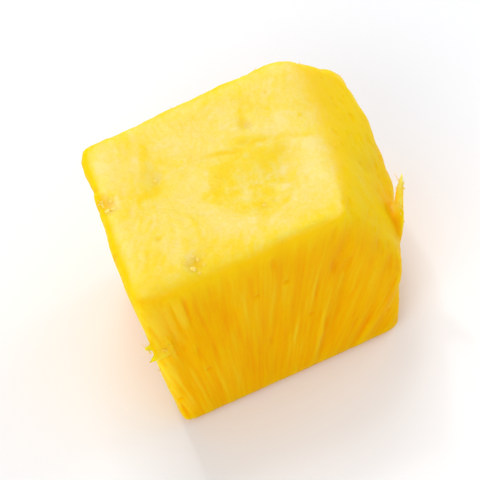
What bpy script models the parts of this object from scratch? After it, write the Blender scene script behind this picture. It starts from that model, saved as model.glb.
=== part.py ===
"""Pineapple chunk: one knife-cut block of ripe, peeled flesh, about 39 x 26 x 25 mm.

The block is what a handful of straight knife cuts leave of the fruit. Its top is the side that
lay under the peel, its base the side towards the core. The edges are softened, and then the
faces get the relief of the flesh: hollowed fruitlets on the top, fibres that fan out from the
core on the sides, small wet pits, and torn flakes of fibre that stand out along the edges.

The model is in metres with +Z up. Its origin is the centre of its box, on the ground, and its
longest side lies along X. All sizes below are millimetres, in the block's own frame: x runs
along the front edge of the top, y to the back, z up, and zero is the ground under the top's
front left corner.
"""
import math

import bmesh
import bpy
import numpy as np
from mathutils import Vector, noise
from mathutils.bvhtree import BVHTree

MM = 0.001

# ---- The block between its cuts ----
RAW_SIZE = 150.0            # the piece of flesh before the cuts
HEIGHT = 25.0
TOP_FRONT = 26.7            # front edge of the top, left corner to right corner
TOP_DEPTH = 22.5            # front edge of the top to its back edge, at the left
TOP_SKEW = 11.4             # degrees that the top's side edges lean to the right, going back
FRONT_LEAN = 5.0            # degrees that the front face looks up
BACK_TURN = 92.2            # heading of the back face, degrees from +X
BACK_LEAN = -2.0            # and it looks slightly down
LEFT_UNDERCUT = 12.1        # degrees that the left face looks down
FACET_FRONT_DROP = 28.7     # degrees that the two right-hand facets look up
FACET_BACK_DROP = 47.0
FACET_FRONT_TURN = -23.6    # headings of the facets and sides, degrees from +X
FACET_BACK_TURN = -12.7
SIDE_FRONT_TURN = -24.0
SIDE_BACK_TURN = -2.0
SIDE_REACH = 38.5           # x of the right side's furthest plane
SIDE_FRONT_X = 34.4         # where the right side meets the front face
EDGE_ROUND = 1.1            # radius of a fresh cut edge in the soft flesh
WORN_ROUND = 2.5            # radius of the upper edges at the front and the right
WORN_CLIMB = 0.5            # how far up a worn edge faces at least, as the sum of its faces' ways
BEVEL_STEPS = 4
SKIN_GRID = 0.5             # size of the faces that the relief is made on
SKIN_EASE = 5               # rounds of smoothing that even out that grid
EASE_SHARE = 0.5            # how far each round goes
TRIANGLES = 10500           # faces of the finished chunk, the flat base aside

# ---- The fruit that the block was cut from ----
CORE_DEPTH = 48.0           # top of the block down to the fruit's axis, which runs along y
AXIS_X = 15.0
FRUITLET_PITCH = 14.3       # centre to centre
FRUITLET_TURN = 153.4       # heading of one row of fruitlets, degrees from +X
FRUITLET_X = 23.0           # the fruitlet that the top cuts through in its middle
FRUITLET_Y = 8.0
FRUITLET_ROWS = 3           # rows of fruitlets to each side of it
FRUITLET_SWAY = 2.2         # how far growth bends the fruitlets' outlines
SWAY_LENGTH = 7.0

# ---- Relief ----
PEEL_SIDE = (0.55, 0.92)    # how far skin faces up where the peel's side begins, and where it is full
WAVE_HEIGHT = 0.42          # slow swell that a hand-held knife leaves
WAVE_LENGTH = 11.0
DIMPLE_DEPTH = 0.60         # hollow over the fruitlet that the top cuts in its middle
DIMPLE_RADIUS = 5.6
FAINT_DIMPLE = 0.25         # share of that depth over the other fruitlets
PLUMP_HEIGHT = 0.12         # flesh stands up along the seams of the top
PLUMP_WIDTH = 2.0
SEAM_DEPTH = 0.30           # groove between neighbouring fruitlets, on the cut sides
SEAM_WIDTH = 1.1
SEAM_FADE = 5.0             # how long a stretch of groove lasts
SEAM_SHARE = 0.6            # share of its depth that the groove keeps between stretches
FIBRE_HEIGHT = 0.18         # bundles of fibres on the cut sides
FIBRE_SPACING = 2.4         # bundle to bundle under the peel
FIBRE_RUN = 14.0            # how far a bundle keeps its height
PIT_FLOOR = 0.15            # a pit's flat floor, its brim and its lip, over its radius
PIT_BRIM = 1.25
LIP_PLACE = 1.5
LIP_WIDTH = 0.4
LIP_SHARE = 0.12            # height of a pit's lip over its depth
BASE_CALM = 2.5             # height over which the relief fades out above the flat base
FLAT_SNAP = 0.3             # skin this close to the ground that faces down is the flat base
FACES_DOWN = 0.9            # how far down it has to face
BASE_SNAP = 0.02            # and so are the finished corners that are this close
SLIVER = 0.03               # edges shorter than this are closed up

# Where the slow unevenness of each kind starts in the noise
SEED_STEPS = (17.3, 5.1, 9.7)
WAVE_SEED = 1
SEAM_SEED = 5
FIBRE_SEED = 7
SWAY_SEEDS = (11, 13)
PIT_SEED = 15

PIT_WARP = 0.45             # how far a pit is from round
PIT_WARP_LENGTH = 1.7

# Small hollows, as (x, y, z, radius, depth). The last one is an eye that the peeler left.
PITS = (
    (3.8, 13.7, HEIGHT, 1.3, 0.50),
    (8.8, 1.9, HEIGHT, 1.4, 0.50),
    (22.8, 16.3, HEIGHT, 1.1, 0.30),
    (10.2, 14.4, HEIGHT, 1.6, 0.30),
    (31.5, 12.0, 21.0, 1.5, 0.35),
    (13.0, 22.3, 15.0, 1.5, 0.90),
)

# ---- Torn flakes of fibre ----
FLAKE_RINGS = 7
FLAKE_SIDES = 8
FLAKE_ROOT = 1.1            # how deep a flake is rooted in the flesh
FLAKE_FLATNESS = 0.46       # thickness over width
FLAKE_TIP = 0.24            # width of the tip over the width of the root
FLAKE_FULLNESS = 2.0        # how long a flake stays wide before it tapers

# The place of each root, the flake's heading and climb, its length and width, and its curl away
# from the skin towards the tip. Sizes in millimetres, angles in degrees.
FLAKES = (
    (36.3, 4.2, 11.2, 58.0, 69.0, 7.4, 2.9, 4.0),
    (36.7, 5.2, 11.2, 64.0, 63.0, 4.8, 1.9, 6.0),
    (35.9, 3.3, 11.0, 48.0, 66.0, 3.0, 1.8, 9.0),
    (3.4, -0.2, 16.2, 176.0, 4.0, 2.5, 2.4, -6.0),
    (3.5, -0.2, 15.0, 185.0, -12.0, 2.5, 2.2, 8.0),
    (35.6, 22.0, 9.6, 24.0, 34.0, 2.3, 2.2, 8.0),
)

# The look of the flesh
FLESH_COLOUR = (0.93, 0.66, 0.09, 1.0)
FLESH_ROUGHNESS = 0.32


def direction(heading, climb):
    """Unit vector from a heading in plan and a climb above it, both in degrees."""
    turn = math.radians(heading)
    rise = math.radians(climb)
    return Vector((math.cos(turn) * math.cos(rise), math.sin(turn) * math.cos(rise), math.sin(rise)))


def soft_step(low, high, value):
    """0 below low, 1 above high, and an even curve between."""
    t = np.clip((value - low) / (high - low), 0.0, 1.0)
    return t * t * (3.0 - 2.0 * t)


def knife_cuts():
    """Every cut as a point on it and the direction that is cut away."""
    front_left = Vector((0.0, 0.0, HEIGHT))
    front_right = Vector((TOP_FRONT, 0.0, HEIGHT))
    back_left = Vector((TOP_DEPTH * math.tan(math.radians(TOP_SKEW)), TOP_DEPTH, HEIGHT))
    side_front = Vector((SIDE_FRONT_X, 0.0, 0.0))
    side_back = Vector((SIDE_REACH, 0.0, 0.0))
    return (
        (front_left, direction(0.0, 90.0)),
        (Vector((0.0, 0.0, 0.0)), direction(0.0, -90.0)),
        (front_left, direction(-90.0, FRONT_LEAN)),
        (back_left, direction(BACK_TURN, BACK_LEAN)),
        (front_left, direction(180.0 - TOP_SKEW, -LEFT_UNDERCUT)),
        (front_right, direction(FACET_FRONT_TURN, FACET_FRONT_DROP)),
        (front_right, direction(FACET_BACK_TURN, FACET_BACK_DROP)),
        (side_front, direction(SIDE_FRONT_TURN, 0.0)),
        (side_back, direction(SIDE_BACK_TURN, 0.0)),
    )


def is_worn(edge):
    """Whether an edge between two cuts looks up and to the front or the right."""
    outward = edge.link_faces[0].normal + edge.link_faces[1].normal
    return outward.z > WORN_CLIMB and (outward.x > 0.0 or outward.y < 0.0)


def cut_block():
    """A piece of flesh larger than the chunk, cut down by each knife cut in turn."""
    block = bmesh.new()
    bmesh.ops.create_cube(block, size=RAW_SIZE)
    for point, away in knife_cuts():
        everything = block.verts[:] + block.edges[:] + block.faces[:]
        bmesh.ops.bisect_plane(block, geom=everything, plane_co=point, plane_no=away, clear_outer=True)
        open_edges = [edge for edge in block.edges if edge.is_boundary]
        bmesh.ops.edgeloop_fill(block, edges=open_edges)
    bmesh.ops.recalc_face_normals(block, faces=block.faces[:])
    rounding = block.edges.layers.float.new("bevel_weight_edge")
    for edge in block.edges:
        edge[rounding] = 1.0 if is_worn(edge) else EDGE_ROUND / WORN_ROUND
    return block


def mesh_object(name, form):
    """A new object from a finished bmesh, whose units are millimetres."""
    mesh = bpy.data.meshes.new(name)
    form.to_mesh(mesh)
    form.free()
    made = bpy.data.objects.new(name, mesh)
    bpy.context.scene.collection.objects.link(made)
    return made


def apply_modifiers(made):
    """Keep the shape that the object's modifiers give, and drop the modifiers."""
    bpy.context.view_layer.update()
    evaluated = made.evaluated_get(bpy.context.evaluated_depsgraph_get())
    finished = bpy.data.meshes.new_from_object(evaluated)
    rough = made.data
    made.modifiers.clear()
    made.data = finished
    bpy.data.meshes.remove(rough)


def soften_edges(chunk):
    """Round the cut edges, then lay an even grid of faces over the whole block."""
    bevel = chunk.modifiers.new("edges", "BEVEL")
    bevel.limit_method = "WEIGHT"
    bevel.width = WORN_ROUND
    bevel.segments = BEVEL_STEPS
    skin = chunk.modifiers.new("skin", "REMESH")
    skin.mode = "VOXEL"
    skin.voxel_size = SKIN_GRID
    ease = chunk.modifiers.new("ease", "SMOOTH")
    ease.factor = EASE_SHARE
    ease.iterations = SKIN_EASE
    apply_modifiers(chunk)


def fruit_place(points):
    """Where points lie in the fruit: along its girth under the peel, along its axis, and the radius."""
    across = points[:, 0] - AXIS_X
    outward = points[:, 2] - (HEIGHT - CORE_DEPTH)
    radius = np.hypot(across, outward)
    girth = AXIS_X + np.arctan2(across, outward) * CORE_DEPTH
    return girth, points[:, 1], radius


def fruitlet_distances(girth, along):
    """Distances to the nearest and the second nearest centre of a fruitlet, and to the main one."""
    row = direction(FRUITLET_TURN, 0.0) * FRUITLET_PITCH
    next_row = direction(FRUITLET_TURN - 60.0, 0.0) * FRUITLET_PITCH
    rows = range(-FRUITLET_ROWS, FRUITLET_ROWS + 1)
    distances = []
    for i in rows:
        for j in rows:
            centre = Vector((FRUITLET_X, FRUITLET_Y, 0.0)) + row * i + next_row * j
            distances.append(np.hypot(girth - centre.x, along - centre.y))
    middle = np.hypot(girth - FRUITLET_X, along - FRUITLET_Y)
    distances = np.sort(np.array(distances), axis=0)
    return distances[0], distances[1], middle


def noise_at(points, wave, seed):
    """Smooth noise between about -1 and 1 at each point."""
    shift = Vector([seed * step for step in SEED_STEPS])
    return np.array([noise.noise(Vector(point) / wave + shift) for point in points])


def top_relief(near, seam, middle):
    """The side under the peel: a hollow over each fruitlet, and plump seams between them."""
    depth = np.where(np.isclose(near, middle), DIMPLE_DEPTH, FAINT_DIMPLE * DIMPLE_DEPTH)
    hollow = -depth * (1.0 - soft_step(0.0, DIMPLE_RADIUS, near))
    plump = PLUMP_HEIGHT * (1.0 - soft_step(0.0, PLUMP_WIDTH, seam))
    return hollow + plump


def side_relief(points, girth, along, radius, seam):
    """The cut sides: grooves between the fruitlets, and bundles of fibre that fan out from the core."""
    groove = -SEAM_DEPTH * (1.0 - soft_step(0.0, SEAM_WIDTH, seam * radius / CORE_DEPTH))
    groove *= SEAM_SHARE + (1.0 - SEAM_SHARE) * noise_at(points, SEAM_FADE, SEAM_SEED)
    places = np.column_stack((girth / FIBRE_SPACING, along / FIBRE_SPACING, radius / FIBRE_RUN))
    return groove + FIBRE_HEIGHT * noise_at(places, 1.0, FIBRE_SEED)


def pit_relief(points):
    """Uneven hollows with soft lips."""
    relief = np.zeros(len(points))
    warp = 1.0 + PIT_WARP * noise_at(points, PIT_WARP_LENGTH, PIT_SEED)
    for x, y, z, radius, depth in PITS:
        distance = np.linalg.norm(points - np.array((x, y, z)), axis=1) * warp
        relief -= depth * (1.0 - soft_step(PIT_FLOOR * radius, PIT_BRIM * radius, distance))
        from_lip = (distance - LIP_PLACE * radius) / (LIP_WIDTH * radius)
        relief += LIP_SHARE * depth * np.exp(-from_lip ** 2)
    return relief


def add_relief(chunk):
    """Move the skin in and out by what the flesh shows, and keep the base flat."""
    mesh = chunk.data
    count = len(mesh.vertices)
    points = np.empty(3 * count)
    normals = np.empty(3 * count)
    mesh.vertices.foreach_get("co", points)
    mesh.vertices.foreach_get("normal", normals)
    points = points.reshape(-1, 3)
    normals = normals.reshape(-1, 3)

    girth, along, radius = fruit_place(points)
    sway_girth, sway_along = (noise_at(points, SWAY_LENGTH, seed) for seed in SWAY_SEEDS)
    near, second, middle = fruitlet_distances(girth + FRUITLET_SWAY * sway_girth,
                                              along + FRUITLET_SWAY * sway_along)
    seam = 0.5 * (second - near)
    peel_side = soft_step(*PEEL_SIDE, normals[:, 2])

    relief = WAVE_HEIGHT * noise_at(points, WAVE_LENGTH, WAVE_SEED)
    relief += peel_side * top_relief(near, seam, middle)
    relief += (1.0 - peel_side) * side_relief(points, girth, along, radius, seam)
    relief += pit_relief(points)
    relief *= soft_step(0.0, BASE_CALM, points[:, 2])

    points = points + normals * relief[:, None]
    on_base = (points[:, 2] < FLAT_SNAP) & (normals[:, 2] < -FACES_DOWN)
    points[on_base, 2] = 0.0
    points[:, 2] = np.maximum(points[:, 2], 0.0)
    mesh.vertices.foreach_set("co", points.ravel())
    mesh.update()


def skin_of(chunk):
    """The chunk's surface, ready to be asked for its nearest point."""
    form = bmesh.new()
    form.from_mesh(chunk.data)
    skin = BVHTree.FromBMesh(form)
    form.free()
    return skin


def torn_flake(root, outward, along, length, width, curl):
    """One flake: a flat tongue of fibre that is rooted in the flesh and tapers to a point."""
    flake = bmesh.new()
    across = outward.cross(along).normalized()
    face = along.cross(across)
    step = (length + FLAKE_ROOT) / (FLAKE_RINGS - 1)
    middle = root - along * FLAKE_ROOT
    rings = []
    for i in range(FLAKE_RINGS):
        share = i / (FLAKE_RINGS - 1)
        rise = math.radians(curl * share)
        way = along * math.cos(rise) + face * math.sin(rise)
        thick = way.cross(across) * FLAKE_FLATNESS
        half = 0.5 * width * (FLAKE_TIP + (1.0 - FLAKE_TIP) * (1.0 - share ** FLAKE_FULLNESS))
        ring = []
        for k in range(FLAKE_SIDES):
            turn = math.tau * k / FLAKE_SIDES
            offset = across * math.cos(turn) + thick * math.sin(turn)
            ring.append(flake.verts.new(middle + offset * half))
        rings.append(ring)
        middle = middle + way * step
    for lower, upper in zip(rings, rings[1:]):
        for k in range(FLAKE_SIDES):
            after = (k + 1) % FLAKE_SIDES
            flake.faces.new((lower[k], lower[after], upper[after], upper[k]))
    flake.faces.new(rings[0])
    flake.faces.new(rings[-1])
    bmesh.ops.recalc_face_normals(flake, faces=flake.faces[:])
    return flake


def fuse_flakes(chunk):
    """Join every flake to the block in one union, so that the chunk stays one solid."""
    flakes = bpy.data.collections.new("flakes")
    skin = skin_of(chunk)
    for number, (x, y, z, heading, climb, *form) in enumerate(FLAKES):
        root, outward, face, gap = skin.find_nearest(Vector((x, y, z)))
        flake = mesh_object(f"flake_{number}", torn_flake(root, outward, direction(heading, climb), *form))
        bpy.context.scene.collection.objects.unlink(flake)
        flakes.objects.link(flake)
    bpy.context.scene.collection.children.link(flakes)
    union = chunk.modifiers.new("flakes", "BOOLEAN")
    union.operation = "UNION"
    union.operand_type = "COLLECTION"
    union.collection = flakes
    union.solver = "EXACT"
    apply_modifiers(chunk)
    for flake in list(flakes.objects):
        bpy.data.objects.remove(flake, do_unlink=True)
    bpy.data.collections.remove(flakes)


def tidy_faces(chunk):
    """Spend the faces where the shape needs them, and make the flat base one face."""
    fewer = chunk.modifiers.new("fewer", "DECIMATE")
    fewer.ratio = TRIANGLES / sum(len(face.vertices) - 2 for face in chunk.data.polygons)
    apply_modifiers(chunk)
    form = bmesh.new()
    form.from_mesh(chunk.data)
    for vert in form.verts:
        if vert.co.z < BASE_SNAP:
            vert.co.z = 0.0
    bmesh.ops.dissolve_degenerate(form, dist=SLIVER, edges=form.edges[:])
    base = [face for face in form.faces if all(vert.co.z == 0.0 for vert in face.verts)]
    bmesh.ops.dissolve_faces(form, faces=base, use_verts=True)
    bmesh.ops.triangulate(form, faces=form.faces[:])
    form.to_mesh(chunk.data)
    form.free()


def flesh_material():
    """Ripe flesh: strong yellow, wet."""
    material = bpy.data.materials.new("pineapple_flesh")
    material.use_nodes = True
    shader = material.node_tree.nodes["Principled BSDF"]
    shader.inputs["Base Color"].default_value = FLESH_COLOUR
    shader.inputs["Roughness"].default_value = FLESH_ROUGHNESS
    shader.inputs["Metallic"].default_value = 0.0
    material.diffuse_color = FLESH_COLOUR
    return material


def place_on_ground(chunk):
    """Centre the block's box over the origin and turn millimetres into metres."""
    mesh = chunk.data
    points = np.empty(3 * len(mesh.vertices))
    mesh.vertices.foreach_get("co", points)
    points = points.reshape(-1, 3)
    middle = 0.5 * (points.min(axis=0) + points.max(axis=0))
    points[:, 0] -= middle[0]
    points[:, 1] -= middle[1]
    mesh.vertices.foreach_set("co", (points * MM).ravel())
    mesh.update()


def build():
    """The whole chunk."""
    for old in list(bpy.data.objects):
        bpy.data.objects.remove(old, do_unlink=True)
    chunk = mesh_object("pineapple_chunk", cut_block())
    soften_edges(chunk)
    add_relief(chunk)
    fuse_flakes(chunk)
    tidy_faces(chunk)
    place_on_ground(chunk)
    chunk.data.materials.clear()
    chunk.data.materials.append(flesh_material())
    chunk.data.shade_smooth()


build()
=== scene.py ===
"""The looks of the pineapple chunk: wet, ripe, knife-cut flesh with its fibres, and a little juice.

The solid gives the form. The flesh is laid over it as a fine skin that follows the fruit's own
growth: fruitlets side by side under the peel, and fibres that run from the core out to them.
Shapes are made in millimetres, in the block's own frame; the finished pieces are in metres.
"""
import math
from typing import NamedTuple

import bmesh
import bpy
import numpy as np
from mathutils import Matrix, Vector, noise


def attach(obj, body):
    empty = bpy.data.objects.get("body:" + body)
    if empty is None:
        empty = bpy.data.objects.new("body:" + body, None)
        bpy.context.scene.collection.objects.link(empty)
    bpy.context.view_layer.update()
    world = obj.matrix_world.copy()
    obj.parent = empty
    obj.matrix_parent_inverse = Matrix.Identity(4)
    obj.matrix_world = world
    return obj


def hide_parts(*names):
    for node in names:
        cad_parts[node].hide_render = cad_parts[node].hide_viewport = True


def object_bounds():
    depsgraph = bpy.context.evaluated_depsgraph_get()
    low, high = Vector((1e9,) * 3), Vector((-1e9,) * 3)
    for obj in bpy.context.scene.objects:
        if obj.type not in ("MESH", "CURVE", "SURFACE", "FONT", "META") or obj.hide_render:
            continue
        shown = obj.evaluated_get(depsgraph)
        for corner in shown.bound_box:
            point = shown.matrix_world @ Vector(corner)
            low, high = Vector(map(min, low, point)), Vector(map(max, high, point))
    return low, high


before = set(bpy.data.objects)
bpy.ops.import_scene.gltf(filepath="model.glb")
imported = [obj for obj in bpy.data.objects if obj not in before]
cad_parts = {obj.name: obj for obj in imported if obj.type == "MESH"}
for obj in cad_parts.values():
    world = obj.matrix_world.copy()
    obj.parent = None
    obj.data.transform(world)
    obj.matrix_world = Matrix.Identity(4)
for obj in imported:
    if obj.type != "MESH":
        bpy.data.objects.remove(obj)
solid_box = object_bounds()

MM = 0.001
SOLID = "pineapple_chunk"
BODY = "root"


class Mark(NamedTuple):
    """A mark on the face under the peel, in millimetres."""
    x: float
    y: float
    way: float              # degrees from +X
    length: float
    width: float
    tone: float             # how much richer the flesh is there, or paler where it is below 0
    depth: float = 0.0


class CrumbSpot(NamedTuple):
    """A place where crumbs lie, in millimetres."""
    place: tuple
    scatter: float
    number: int
    radius: float


class Skin(NamedTuple):
    """The finished skin in the block's frame: points, the way out of the flesh, and sharpness."""
    points: np.ndarray
    normals: np.ndarray
    sharp: np.ndarray


# ---- Where the block and the fruit's axis lie in the frame, in millimetres ----
BLOCK_X = -19.94            # the top's front left corner
BLOCK_Y = -11.05
HEIGHT = 25.0
CORE_DEPTH = 48.0           # top of the block down to the fruit's axis, which runs along y
AXIS_X = 15.0
FRUITLET_PITCH = 14.3       # from fruitlet to fruitlet in a row, and from row to row along another
FRUITLET_TURN = 153.4       # way of the rows, degrees from +X
ROW_ANGLE = 60.0            # between the rows that cross
ROWS_NEAR = 3               # rows looked at to each side
FRUITLET_X = 23.0           # the main fruitlet's place in its row
FRUITLET_Y = 8.0
HEART_X = 20.2              # and its middle, where the knife cut through it
HEART_Y = 8.9
FRUITLET_SWAY = 2.2         # how far the growth wanders
SWAY_LENGTH = 7.0
DIMPLE_RADIUS = 5.6         # hollow of a fruitlet

# ---- The fine skin ----
JOIN_REACH = 0.001          # points of the solid that are this close are one
SKIN_GRID = 0.225           # size of its faces
EASE_SHARE = 0.6            # how much of its neighbours' mean a point takes on in a smoothing round
EASE_ROUNDS = 1.6           # rounds of smoothing that carry a value one face far
SKIN_EASE = 4               # rounds of smoothing that even out the grid
FLAKE_HOLD = (0.25, 0.60)   # sharpness over which it fades out, as thin flakes would shrink
BASE_CALM = 1.2             # height over which relief fades out above the flat base
EDGE_REACH = 0.95           # how far to each side an edge is felt
EDGE_SPAN = (0.10, 0.34)    # sharpness at which an edge begins, and at which it is full
FACE_REACH = 2.2            # how far a face's colour is blended round an edge
PEEL_SIDE_SPAN = (0.68, 0.99)   # from the sides to the face under the peel, by how far it looks up
FRONT_SHARE = 0.28          # how much of the top's colour turns over its front edge
PAINTED_GLOW_REACH = 4.0             # how far the painted glow below the top's edges reaches
PAINTED_GLOW_SPAN = (0.08, 0.56)     # from no painted glow to a full one, by how far the flesh round it looks up

# ---- What the knife and the growth leave on the skin, all in millimetres ----
# A wave is the width of a ridge, and a run is how far it keeps its line. What is only shown in
# places has the values of its noise, from -1 to 1, at which it begins and at which it is full.
GRAIN_WAVE = 1.25           # juicy grain of the face under the peel
GRAIN_HEIGHT = 0.050
FINE_GRAIN_WAVE = 0.55
FINE_GRAIN_HEIGHT = 0.022
SIDE_GRAIN_HEIGHT = 0.011   # the same on the cut sides
STROKE_WAVE = 0.60          # slanting fibre ends on that face, as strokes round the fruitlet
STROKE_RUN = 2.3
STROKE_HEIGHT = 0.07
STROKE_SWAY = 1.2           # how far they wander sideways
STROKE_CLIMB = 0.3          # how fast they change with height
STROKE_PATCH = 4.2          # size of the patches in which they show
STROKE_SHOWN = (-0.25, 0.35)
STROKE_FAINT = 0.25         # their strength between the patches
STROKE_HEADING = 62.0       # way of the strokes outside the fruitlet, degrees from +X
ARC_SPAN = (0.9, 1.4)       # where they stop bending round it, in shares of the dimple's radius
BUNDLE_WAVE = 1.5           # fibre bundles on the cut sides, bundle to bundle under the peel
BUNDLE_HEIGHT = 0.078
BUNDLE_RUN = 16.0
FIBRE_WAVE = 0.62
FIBRE_HEIGHT = 0.040
FIBRE_RUN = 9.0
TEAR_WAVE = 0.95            # short grooves where fibres pulled out
TEAR_RUN = 4.5
TEAR_DEPTH = 0.16
TEAR_SHOWN = (0.34, 0.62)
NICK_WAVE = 1.3             # crumbled edge
NICK_DEPTH = 0.20
NICK_SHOWN = (0.05, 0.60)
CRUMBLE_WAVE = 0.5
CRUMBLE_HEIGHT = 0.09
PIT_COUNT = 46              # pores of the flesh
PIT_SIZES = (0.22, 0.46)    # their radii
PIT_WALL = (0.25, 1.2)      # where their walls lie, in shares of the radius
PIT_SHARE = 0.5             # depth over radius
SPOT_WAVE = 1.1             # pale cells inside the fruitlet
SPOT_SHOWN = (0.22, 0.50)
SPOKE_TURN = 2.88           # how fast the streaks change round the fruitlet's middle
SPOKE_RUN = 3.4
HEART_SPAN = (0.8, 1.3)     # where cells and streaks end, in shares of the dimple's radius

# ---- Marks on the face under the peel ----
MARK_WOBBLE = 0.22          # how far their outlines wander
WOBBLE_WAVE = 0.9
MARKS = (
    # The fruitlet's own edge, a shallow fold
    Mark(x=18.6, y=13.9, way=-12.0, length=4.2, width=0.60, tone=0.50, depth=0.12),
    Mark(x=23.6, y=13.5, way=-14.0, length=5.6, width=0.70, tone=0.34, depth=0.08),
    Mark(x=27.6, y=12.2, way=-22.0, length=3.0, width=0.60, tone=0.26, depth=0.05),
    # Rich flesh inside it
    Mark(x=19.4, y=12.6, way=24.0, length=4.4, width=2.00, tone=0.24),
    Mark(x=16.2, y=10.3, way=42.0, length=6.2, width=1.90, tone=0.34, depth=0.03),
    Mark(x=23.4, y=10.6, way=38.0, length=3.0, width=1.50, tone=0.26),
    # Seed slits
    Mark(x=18.9, y=5.1, way=62.0, length=2.3, width=1.40, tone=0.46, depth=0.10),
    Mark(x=21.8, y=4.9, way=8.0, length=2.6, width=0.70, tone=0.24, depth=0.05),
    Mark(x=25.6, y=6.6, way=40.0, length=1.6, width=0.45, tone=0.20, depth=0.06),
    # Pale cells
    Mark(x=18.2, y=7.3, way=62.0, length=2.5, width=1.30, tone=-0.42),
    Mark(x=21.2, y=10.4, way=62.0, length=1.9, width=0.80, tone=-0.34),
    Mark(x=23.7, y=8.7, way=54.0, length=1.8, width=0.90, tone=-0.30),
    # Pale flesh between the fruitlet and the right rim
    Mark(x=26.6, y=6.0, way=64.0, length=8.4, width=4.40, tone=-0.18),
    # The fold of the fruitlet on its left
    Mark(x=9.2, y=12.9, way=10.0, length=4.0, width=1.30, tone=0.36, depth=0.07),
    Mark(x=7.3, y=12.4, way=60.0, length=1.8, width=0.50, tone=0.26, depth=0.05),
    # Richer streaks towards the back
    Mark(x=10.9, y=18.2, way=80.0, length=2.6, width=1.50, tone=0.28, depth=0.03),
    Mark(x=23.0, y=17.3, way=66.0, length=3.4, width=0.80, tone=0.36, depth=0.06),
    Mark(x=24.8, y=18.4, way=64.0, length=1.8, width=0.50, tone=0.18, depth=0.04),
    # Slanting fibre ends by the front corner
    Mark(x=4.2, y=3.8, way=40.0, length=4.6, width=1.80, tone=0.22),
    Mark(x=4.4, y=4.5, way=66.0, length=3.0, width=0.50, tone=0.24, depth=0.06),
    Mark(x=5.8, y=3.6, way=62.0, length=2.6, width=0.45, tone=0.24, depth=0.05),
    Mark(x=7.0, y=5.6, way=58.0, length=2.8, width=0.60, tone=-0.20),
    Mark(x=12.0, y=3.4, way=30.0, length=2.8, width=0.60, tone=0.18, depth=0.04),
    # Pale patches towards the back, painted light where the light from behind falls
    Mark(x=6.0, y=18.8, way=74.0, length=3.6, width=2.20, tone=-0.28),
    Mark(x=18.6, y=18.6, way=10.0, length=11.0, width=3.60, tone=-0.20),
    # Painted highlights along the right rim, as whitish spots
    Mark(x=27.0, y=15.1, way=60.0, length=2.6, width=2.20, tone=-0.34),
    Mark(x=28.0, y=10.6, way=40.0, length=2.2, width=1.50, tone=-0.34),
    Mark(x=29.4, y=7.0, way=60.0, length=2.0, width=1.00, tone=-0.30),
    # Two wet pits, each with a pale lip; the richer tone inside them is painted shade
    Mark(x=8.9, y=1.9, way=24.0, length=1.7, width=1.10, tone=0.24, depth=0.12),
    Mark(x=9.0, y=3.2, way=20.0, length=2.0, width=0.60, tone=-0.34),
    Mark(x=3.8, y=13.6, way=70.0, length=1.6, width=1.10, tone=0.18, depth=0.12),
    Mark(x=5.3, y=13.9, way=74.0, length=1.8, width=0.60, tone=-0.34),
)

# ---- Loose fibre ends, in millimetres ----
FUZZ_COUNT = 110            # short ones along the cut edges
FUZZ_LENGTHS = (0.20, 0.90)
FUZZ_ABOVE = 1.5            # height above the base from which they grow
TUFT_COUNT = 22             # longer ribbons on the torn flakes
TUFT_LENGTHS = (0.5, 1.5)
TUFT_ABOVE = 4.0
LENGTH_LEFT = (0.4, 1.0)    # share of its length that an end keeps where it broke off
FIBRE_RADII = (0.058, 0.016)    # at the root and at the tip
FIBRE_SIDES = 6
FIBRE_STEPS = 7
FIBRE_BEND = 0.22           # how far its tip bends over, against its length
FIBRE_SINK = 0.12           # how deep in the flesh its root lies
RIBBON = 2.0                # how much wider than thick a ribbon is at its root
RIBBON_SINK = 0.50          # how far back inside its flake a ribbon starts
RIBBON_CLEAR = 1.6          # and how far from the flake's root at least
EDGE_SHARP = 0.10           # how sharp the form is along its edges
FLAKE_SHARP = 0.24          # and on the torn flakes

# ---- Crumbs of torn flesh ----
EYE_PIT = (13.0, 22.3, 15.0)    # pit of a fruitlet's eye in the back face
CRUMB_SPOTS = (
    # The two wet pits
    CrumbSpot(place=(3.8, 13.7, HEIGHT), scatter=1.3, number=5, radius=0.20),
    CrumbSpot(place=(8.8, 1.9, HEIGHT), scatter=1.3, number=5, radius=0.20),
    # The roots of the torn flakes at the front left, the right and the back right
    CrumbSpot(place=(3.2, -0.4, 15.6), scatter=1.1, number=5, radius=0.20),
    CrumbSpot(place=(36.2, 4.4, 11.6), scatter=1.1, number=4, radius=0.20),
    CrumbSpot(place=(35.6, 22.0, 9.8), scatter=1.4, number=4, radius=0.22),
    # The eye pit
    CrumbSpot(place=EYE_PIT, scatter=1.3, number=4, radius=0.20),
)
CRUMB_SIZES = (0.6, 1.4)    # smallest and largest, over the spot's radius
CRUMB_LUMPS = 0.9           # how uneven a crumb is, over its radius
LUMPS_ACROSS = 1.5          # lumps over a crumb's radius
LUMP_ROOM = 50.0            # side of the room in the noise that the crumbs' lumps are drawn from
CRUMB_SHAPE = (1.25, 0.7, 0.5)
SCATTER_SHARE = 0.5         # usual distance from a spot's middle, over its scatter

# ---- Beads of juice: where they lie in the block, and their radius ----
BEADS = (
    # In and round the wet pits
    ((3.5, 13.2, HEIGHT), 0.42),
    ((4.5, 14.1, HEIGHT), 0.26),
    ((3.0, 14.3, HEIGHT), 0.20),
    ((8.5, 1.6, HEIGHT), 0.44),
    ((9.4, 2.3, HEIGHT), 0.24),
    ((7.9, 2.4, HEIGHT), 0.18),
    # In folds and a seed slit
    ((23.2, 16.2, HEIGHT), 0.28),
    ((10.4, 14.2, HEIGHT), 0.26),
    ((19.4, 5.2, HEIGHT), 0.24),
    # In the eye pit
    ((13.4, 22.7, 14.2), 0.34),
)
BEAD_SINK = 0.45            # share of the dome's height that lies in the flesh
BEAD_FLATNESS = 0.62

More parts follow.
